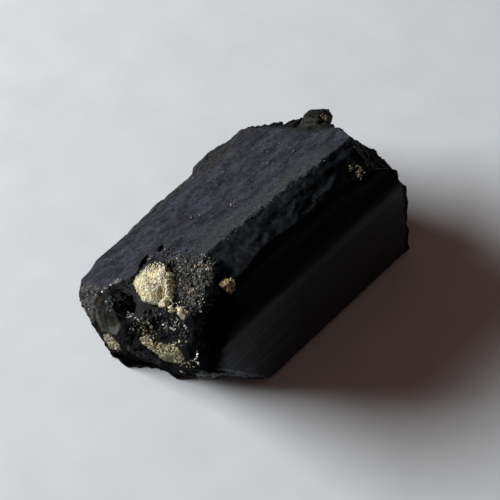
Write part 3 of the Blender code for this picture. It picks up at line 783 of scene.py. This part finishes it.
RAY_START = 40.0  # how far outside the stone a dropped grain starts
DISC_CROWDING = 0.7  # above a half, so grains are thicker towards the middle of a disc
UPPER_ALONG, UPPER_DOWN = (-26.0, 34.0), (-12.0, 18.0)  # over which x, and how far down from its middle
CHIPPED_EDGE = (-9.0, 25.0)  # between which x the rough upper edge carries chips
EDGE_SPREAD = 0.45  # how far from the edge they stray
EDGE_CHIPS = 80
EDGE_CHIP_SHARE = 0.6  # their size, against that of the other chips
FLASH_COPIES, FLASH_SPREAD, FLASH_LIFT = 4, 0.5, 0.06
SPECK_COPIES, SPECK_SPREAD, SPECK_LIFT = 3, 0.28, 0.02
SPECK_GROWTH = 1.7  # how much bigger the listed specks are than the loose ones
LOOSE_SPECKS = 90
PIT = (0.012, 0.012, 0.010)  # the colour of the small pits in every grain

faces = [tuple(polygon.vertices) for polygon in stone.data.polygons]
surface = BVHTree.FromPolygons([tuple(spot) for spot in points.tolist()], faces)


def landed(spots, out):
    """Where rays from outside, along -out, first meet the stone: (points, normals)."""
    away = Vector(out)
    hits, ways = [], []
    for spot in spots:
        place, way, _, _ = surface.ray_cast(Vector(spot) + away * RAY_START, -away, 2.0 * RAY_START)
        if place is not None:
            hits.append(place)
            ways.append(way)
    return np.array(hits).reshape(-1, 3), np.array(ways).reshape(-1, 3)


def over_outline(outline, count, rng):
    """Random spots inside an outline of the near break, on the stone."""
    corners = np.array(outline)
    low, high = corners.min(0), corners.max(0)
    spots = []
    while len(spots) < count:
        flat = low + rng.random((count * 2, 2)) * (high - low)
        where = flat[:, :1] * NEAR_ACROSS + flat[:, 1:] * NEAR_UP
        spots.extend(where[inside_outline(where, outline) > 0.0])
    return landed(spots[:count], NEAR_OUT)


def over_disc(centre, radius, out, count, rng):
    """Random spots on a disc, thicker towards its middle, dropped on the stone against `out`."""
    out = np.asarray(out) / np.linalg.norm(out)
    side = np.cross(out, (0.3, 0.5, 0.81))
    side /= np.linalg.norm(side)
    other = np.cross(out, side)
    turn = rng.random(count) * 2.0 * math.pi
    reach = radius * rng.random(count) ** DISC_CROWDING
    flat = np.outer(reach * np.cos(turn), side) + np.outer(reach * np.sin(turn), other)
    return landed(np.asarray(centre) + flat, out)


def over_upper_face(count, rng):
    """Random spots over the upper face, on the stone."""
    along = rng.uniform(*UPPER_ALONG, count)
    down = rng.uniform(*UPPER_DOWN, count)
    middle = SECTION_CENTRE + FACES["upper"][1] * face_out("upper")[1:]
    flat = middle + down[:, None] * DOWN_LEFT
    return landed(np.column_stack([along, flat]), face_out("upper"))


def settled(spots, lift=0.0):
    """The places on the stone nearest to some spots, each raised by `lift`: (points, normals)."""
    hits, ways = [], []
    for spot in spots:
        place, way, _, _ = surface.find_nearest(Vector(spot))
        hits.append(place + way * lift)
        ways.append(way)
    return np.array(hits), np.array(ways)


def along_edge(edge, count, rng):
    """Random spots along one of the prism's edges, on the stone."""
    x = rng.uniform(*CHIPPED_EDGE, count)
    return settled(np.column_stack([x, edge(x) + rng.normal(size=(count, 2)) * EDGE_SPREAD]))


def random_turns(count, rng):
    """Random rotation matrices."""
    q = rng.normal(size=(count, 4))
    q /= np.linalg.norm(q, axis=1)[:, None]
    w, x, y, z = q.T
    return np.stack([
        1 - 2 * (y * y + z * z), 2 * (x * y - z * w), 2 * (x * z + y * w),
        2 * (x * y + z * w), 1 - 2 * (x * x + z * z), 2 * (y * z - x * w),
        2 * (x * z - y * w), 2 * (y * z + x * w), 1 - 2 * (x * x + y * y),
    ], 1).reshape(-1, 3, 3)


def leaning_turns(ways, spread, rng):
    """Rotations that set a plate's thin axis near each given way."""
    thin = ways + rng.normal(size=ways.shape) * spread
    thin /= np.linalg.norm(thin, axis=1)[:, None]
    side = np.cross(thin, rng.normal(size=ways.shape))
    side /= np.linalg.norm(side, axis=1)[:, None]
    return np.stack([side, np.cross(thin, side), thin], 2)


def lump_shape():
    """An icosahedron of radius 1: (points, triangles)."""
    g = (1.0 + math.sqrt(5.0)) / 2.0
    just_over_an_edge = 2.1
    corners = []
    for a, b in itertools.product((-1, 1), (-g, g)):
        corners += [(0, a, b), (a, b, 0), (b, 0, a)]
    corners = np.array(corners, float)
    apart = np.linalg.norm(corners[:, None] - corners[None], axis=2)
    triangles = []
    for i, j, k in itertools.combinations(range(12), 3):
        if max(apart[i, j], apart[j, k], apart[i, k]) < just_over_an_edge:
            p, q, r = corners[i], corners[j], corners[k]
            triangles.append((i, j, k) if np.cross(q - p, r - p) @ p > 0 else (i, k, j))
    return corners / math.hypot(1.0, g), triangles


def plate_shape():
    """A six-sided plate of radius 1 and half thickness 1: (points, faces)."""
    ring = [(math.cos(math.pi * k / 3), math.sin(math.pi * k / 3)) for k in range(6)]
    corners = np.array([(x, y, z) for z in (-1.0, 1.0) for x, y in ring])
    sides = [(k, (k + 1) % 6, (k + 1) % 6 + 6, k + 6) for k in range(6)]
    return corners, [(5, 4, 3, 2, 1, 0), (6, 7, 8, 9, 10, 11), *sides]


def joined(name, shape, spots, turns, sizes, rng, material, jitter=0.25):
    """Many copies of one shape as a single mesh, each turned, scaled, made irregular and tinted."""
    corners, faces = shape
    count, each = len(spots), len(corners)
    wobble = 1.0 + jitter * (rng.random((count, each, 1)) * 2.0 - 1.0)
    body = corners[None] * wobble * sizes[:, None]
    body = in_cad_box(np.einsum("nij,nkj->nki", turns, body) + spots[:, None] - ORIGIN)
    mesh = bpy.data.meshes.new(name)
    every = [tuple(k * each + v for v in face) for k in range(count) for face in faces]
    mesh.from_pydata((body.reshape(-1, 3) * MM).tolist(), [], every)
    tint = mesh.attributes.new("tint", "FLOAT", "POINT")
    tint.data.foreach_set("value", np.repeat(rng.random(count), each).astype(np.float32))
    mesh.materials.append(material)
    obj = bpy.data.objects.new(name, mesh)
    bpy.context.scene.collection.objects.link(obj)
    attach(obj, "root")


def grain_material(name, dark, pale, smoothest, roughest, shine=0.4, pits=0.8, blush=None, lean=1.0):
    """A material whose colour runs from dark to pale with each grain's own tint, with dark pits.

    The palest grains are the smoothest. A blush colours it in patches; the greater the lean, the fewer the
    grains that are pale.
    """
    n = Nodes(name)
    tint = n.math("POWER", n.mask("tint"), lean)
    spots = n.noise(0.35, 3.0, 0.6)
    colour = n.mix(tint, opaque(dark), opaque(pale))
    if blush:
        colour = n.mix(n.ramp(n.noise(2.2, 2.0), 0.45, 0.65, 0.0, 0.7), colour, opaque(blush))
    colour = n.mix(n.ramp(spots, 0.42, 0.30, 0.0, pits), colour, opaque(PIT))
    n.feed(n.shader.inputs["Base Color"], colour)
    n.feed(n.shader.inputs["Roughness"], n.ramp(tint, 0.0, 1.0, roughest, smoothest))
    n.shader.inputs["Specular IOR Level"].default_value = shine
    n.bump(spots, 0.3, 0.1)
    return n.material


def several(*groups):
    """(points, ways) of several scatters put together."""
    return np.concatenate([g[0] for g in groups]), np.concatenate([g[1] for g in groups])


def lump_sizes(count, low, high, rng):
    """Half sizes of lumps, each between low and high in each direction."""
    return rng.uniform(low, high, (count, 3))


def plate_sizes(count, across, along, rng):
    """Half sizes of plates or fibres: two in the range `across`, and one in the range `along`."""
    return np.column_stack([rng.uniform(*across, (count, 2)), rng.uniform(*along, count)])


def feldspar_grains(rng):
    """The coarse grains of the feldspar patch and of its tail."""
    spots, ways = several(
        over_outline(FELDSPAR, 850, rng),
        over_outline(TAIL, 48, rng),
    )
    turns = random_turns(len(spots), rng)
    sizes = lump_sizes(len(spots), 0.11, 0.27, rng)
    material = grain_material(
        "feldspar", dark=(0.40, 0.38, 0.26), pale=(0.76, 0.73, 0.57), smoothest=0.4, roughest=0.7,
        shine=0.3, pits=0.2, blush=(0.62, 0.50, 0.26),
    )
    joined("feldspar_grains", lump_shape(), spots - 0.03 * ways, turns, sizes, rng, material)


def cream_grains(rng):
    """Small cream grains: two clusters above the feldspar, and those in the tan, mica and reddish places."""
    spots, _ = several(
        over_disc((-18.0, -7.8, 31.1), 0.9, NEAR_OUT, 16, rng),
        over_disc((-17.9, -10.3, 32.7), 1.0, NEAR_OUT, 16, rng),
        over_outline(TAN, 60, rng),
        over_outline(MICA_EDGE, 90, rng),
        over_outline(REDDISH, 30, rng),
        over_outline(STRIPES, 26, rng),
        over_disc((-18.4, 7.4, 21.1), 0.9, UPPER_OUT, 9, rng),
        over_disc(KNOB_STREAK[0], 1.0, UPPER_OUT, 8, rng),
    )
    turns = random_turns(len(spots), rng)
    sizes = lump_sizes(len(spots), 0.12, 0.36, rng)
    material = grain_material(
        "cream", dark=(0.08, 0.07, 0.045), pale=(0.38, 0.33, 0.23), smoothest=0.4, roughest=0.7,
    )
    joined("cream_grains", lump_shape(), spots, turns, sizes, rng, material)


def mica_flakes(rng):
    """Flakes of mica: the gold ridge low on the near break, the far patch, and a few elsewhere."""
    spots, ways = several(
        over_outline(MICA, 340, rng),
        over_outline(OLIVE, 34, rng),
        *(over_disc(middle, radius, BEVEL_OUT, 9, rng) for middle, radius in FAR_GOLD),
        over_outline(CENTRAL, 26, rng),
        over_outline(GRAINY, 24, rng),
    )
    turns = leaning_turns(ways, 0.5, rng)
    sizes = plate_sizes(len(spots), (0.12, 0.46), (0.03, 0.10), rng)
    material = grain_material(
        "mica", dark=(0.035, 0.030, 0.013), pale=(0.42, 0.38, 0.21), smoothest=0.25, roughest=0.5, lean=1.5,
    )
    joined("mica_flakes", plate_shape(), spots + ways * 0.06, turns, sizes, rng, material)


def gold_fibres(rng):
    """Slender fibres, standing up the break, in the gold patch beside it."""
    spots, _ = over_disc(SIDE_GOLD[0], 1.5, BEVEL_OUT, 60, rng)
    turns = leaning_turns(np.repeat([NEAR_UP], len(spots), 0), 0.12, rng)
    sizes = plate_sizes(len(spots), (0.08, 0.18), (0.35, 0.80), rng)
    material = grain_material(
        "fibres", dark=(0.10, 0.055, 0.012), pale=(0.62, 0.54, 0.28), smoothest=0.4, roughest=0.6,
        shine=0.3, pits=0.5,
    )
    joined("gold_fibres", lump_shape(), spots, turns, sizes, rng, material)


def schorl_lumps_with_painted_sheen(rng):
    """Shiny lumps on the hollow's rim; their paler grey is partly a painted sheen, as the hollow lies in
    shade.
    """
    spots, _ = several(
        over_disc((-29.8, 9.1, 13.6), 1.5, NEAR_OUT, 16, rng),
        over_disc((-27.2, 7.2, 13.2), 1.4, NEAR_OUT, 10, rng),
    )
    turns = random_turns(len(spots), rng)
    sizes = lump_sizes(len(spots), 0.30, 0.75, rng)
    material = grain_material(
        "lumps", dark=(0.010, 0.011, 0.012), pale=(0.090, 0.096, 0.098), smoothest=0.2, roughest=0.35,
        shine=0.6, pits=0.3,
    )
    joined("schorl_lumps_with_painted_sheen", lump_shape(), spots, turns, sizes, rng, material)


def schorl_chips(rng):
    """Dark splinters on the near break, and smaller ones along the rough upper edge."""
    spots, ways = several(
        over_outline(GRAINY, 380, rng),
        over_outline(CENTRAL, 150, rng),
        over_outline(TIP, 60, rng),
        over_outline(FRINGE, 70, rng),
        over_outline(TAN, 12, rng),
        along_edge(bevel_edge, EDGE_CHIPS, rng),
    )
    turns = leaning_turns(ways, 0.45, rng)
    sizes = lump_sizes(len(spots), 0.14, 0.42, rng)
    sizes[-EDGE_CHIPS:] *= EDGE_CHIP_SHARE
    material = grain_material(
        "splinters", dark=(0.0008, 0.0009, 0.0011), pale=(0.100, 0.102, 0.098), smoothest=0.3, roughest=0.5,
        shine=0.25, lean=3.0,
    )
    joined("schorl_chips", lump_shape(), spots, turns, sizes, rng, material)


def schorl_flakes(rng):
    """Flat cleavage faces of splinters that all lie about one way, so that they flash together."""
    middles, _ = settled(FLASHES)
    around = rng.normal(size=(FLASH_COPIES * len(middles), 3)) * FLASH_SPREAD
    spots, _ = several(
        settled(np.repeat(middles, FLASH_COPIES, 0) + around, FLASH_LIFT),
        over_outline(LEDGE_HIGHLIGHT, 14, rng),
        over_outline(CENTRAL, 22, rng),
        over_outline(GRAINY, 18, rng),
    )
    turns = leaning_turns(np.repeat([FLASH_OUT], len(spots), 0), 0.22, rng)
    sizes = plate_sizes(len(spots), (0.10, 0.36), (0.05, 0.12), rng)
    material = grain_material(
        "flakes", dark=(0.01, 0.01, 0.011), pale=(0.09, 0.09, 0.09), smoothest=0.2, roughest=0.4,
        shine=0.5, pits=0.0,
    )
    joined("schorl_flakes", plate_shape(), spots, turns, sizes, rng, material, jitter=0.15)


def specks(rng):
    """Pale specks on the upper face and the rough bevel: the listed ones in threes, and small loose ones."""
    listed, _ = settled(SPECKS, SPECK_LIFT)
    loose, _ = over_upper_face(LOOSE_SPECKS, rng)
    around = rng.normal(size=(SPECK_COPIES * len(listed), 3)) * SPECK_SPREAD
    spots = np.concatenate([np.repeat(listed, SPECK_COPIES, 0) + around, loose])
    sizes = lump_sizes(len(spots), 0.07, 0.18, rng)
    sizes[: SPECK_COPIES * len(listed)] *= SPECK_GROWTH
    turns = random_turns(len(spots), rng)
    material = grain_material(
        "specks", dark=(0.03, 0.026, 0.024), pale=(0.24, 0.19, 0.15), smoothest=0.4, roughest=0.7,
    )
    joined("specks", lump_shape(), spots, turns, sizes, rng, material)


UPPER_OUT, BEVEL_OUT = face_out("upper"), face_out("top_bevel")
rng = np.random.default_rng(7)
for add_piece in (
    feldspar_grains, cream_grains, mica_flakes, gold_fibres,
    schorl_lumps_with_painted_sheen, schorl_chips, schorl_flakes, specks,
):
    add_piece(rng)

# ---- the paper ----

PAPER_HALF = 1.2  # metres
PAPER_DARK, PAPER_LIGHT = (0.64, 0.685, 0.715), (0.76, 0.805, 0.835)
PAPER_GRAIN = 180.0  # how many features of the noise the sheet is wide


def paper_material():
    """Plain pale paper with a faint mottle."""
    n = Nodes("paper")
    fibre = n.node("TexNoise", Scale=PAPER_GRAIN, Detail=6.0).outputs["Fac"]
    n.feed(n.shader.inputs["Base Color"], n.mix(fibre, opaque(PAPER_DARK), opaque(PAPER_LIGHT)))
    n.shader.inputs["Roughness"].default_value = 0.9
    return n.material


paper_mesh = bpy.data.meshes.new("paper")
paper_corners = [(x * PAPER_HALF, y * PAPER_HALF, 0.0) for x, y in ((-1, -1), (1, -1), (1, 1), (-1, 1))]
paper_mesh.from_pydata(paper_corners, [], [(0, 1, 2, 3)])
paper_mesh.materials.append(paper_material())
floor = bpy.data.objects.new("paper", paper_mesh)
bpy.context.scene.collection.objects.link(floor)

# ---- light ----

LIGHT_TOWARDS = Vector((-0.484, 0.875, 0.45)).normalized()
LIGHT_DISTANCE, LIGHT_WIDTH, LIGHT_HEIGHT = 1.3, 0.95, 0.45  # metres
LIGHT_POWER = 35.5
ROOM_COLOUR, ROOM_STRENGTH = (1.0, 0.62, 0.53), 0.07

key_data = bpy.data.lights.new("window", "AREA")
key_data.shape = "RECTANGLE"
key_data.size = LIGHT_WIDTH
key_data.size_y = LIGHT_HEIGHT
key_data.energy = LIGHT_POWER
key_data.color = (1.0, 1.0, 1.0)
key = bpy.data.objects.new("window", key_data)
bpy.context.scene.collection.objects.link(key)
key.location = LIGHT_TOWARDS * LIGHT_DISTANCE
key.rotation_euler = LIGHT_TOWARDS.to_track_quat("Z", "Y").to_euler()

world = bpy.data.worlds.new("room")
bpy.context.scene.world = world
world.use_nodes = True
background = world.node_tree.nodes["Background"]
background.inputs["Color"].default_value = opaque(ROOM_COLOUR)
background.inputs["Strength"].default_value = ROOM_STRENGTH
bpy.context.scene.view_settings.view_transform = "Standard"

# ---- camera ----

heading, down = math.radians(HEADING), math.radians(LOOKING_DOWN)
along = Vector((math.sin(heading), math.cos(heading), 0.0))
right = Vector((math.cos(heading), -math.sin(heading), 0.0))
view = along * math.cos(down) - Vector((0.0, 0.0, 1.0)) * math.sin(down)
upward = right.cross(view)
camera_data = bpy.data.cameras.new("camera")
camera_data.angle = math.radians(FIELD_OF_VIEW)
camera_data.clip_start = 0.01
camera = bpy.data.objects.new("camera", camera_data)
bpy.context.scene.collection.objects.link(camera)
turn = Matrix((right, upward, -view)).transposed()
camera.matrix_world = Matrix.Translation((TARGET - Vector(ORIGIN) - view * DISTANCE) * MM) @ turn.to_4x4()
bpy.context.scene.camera = camera
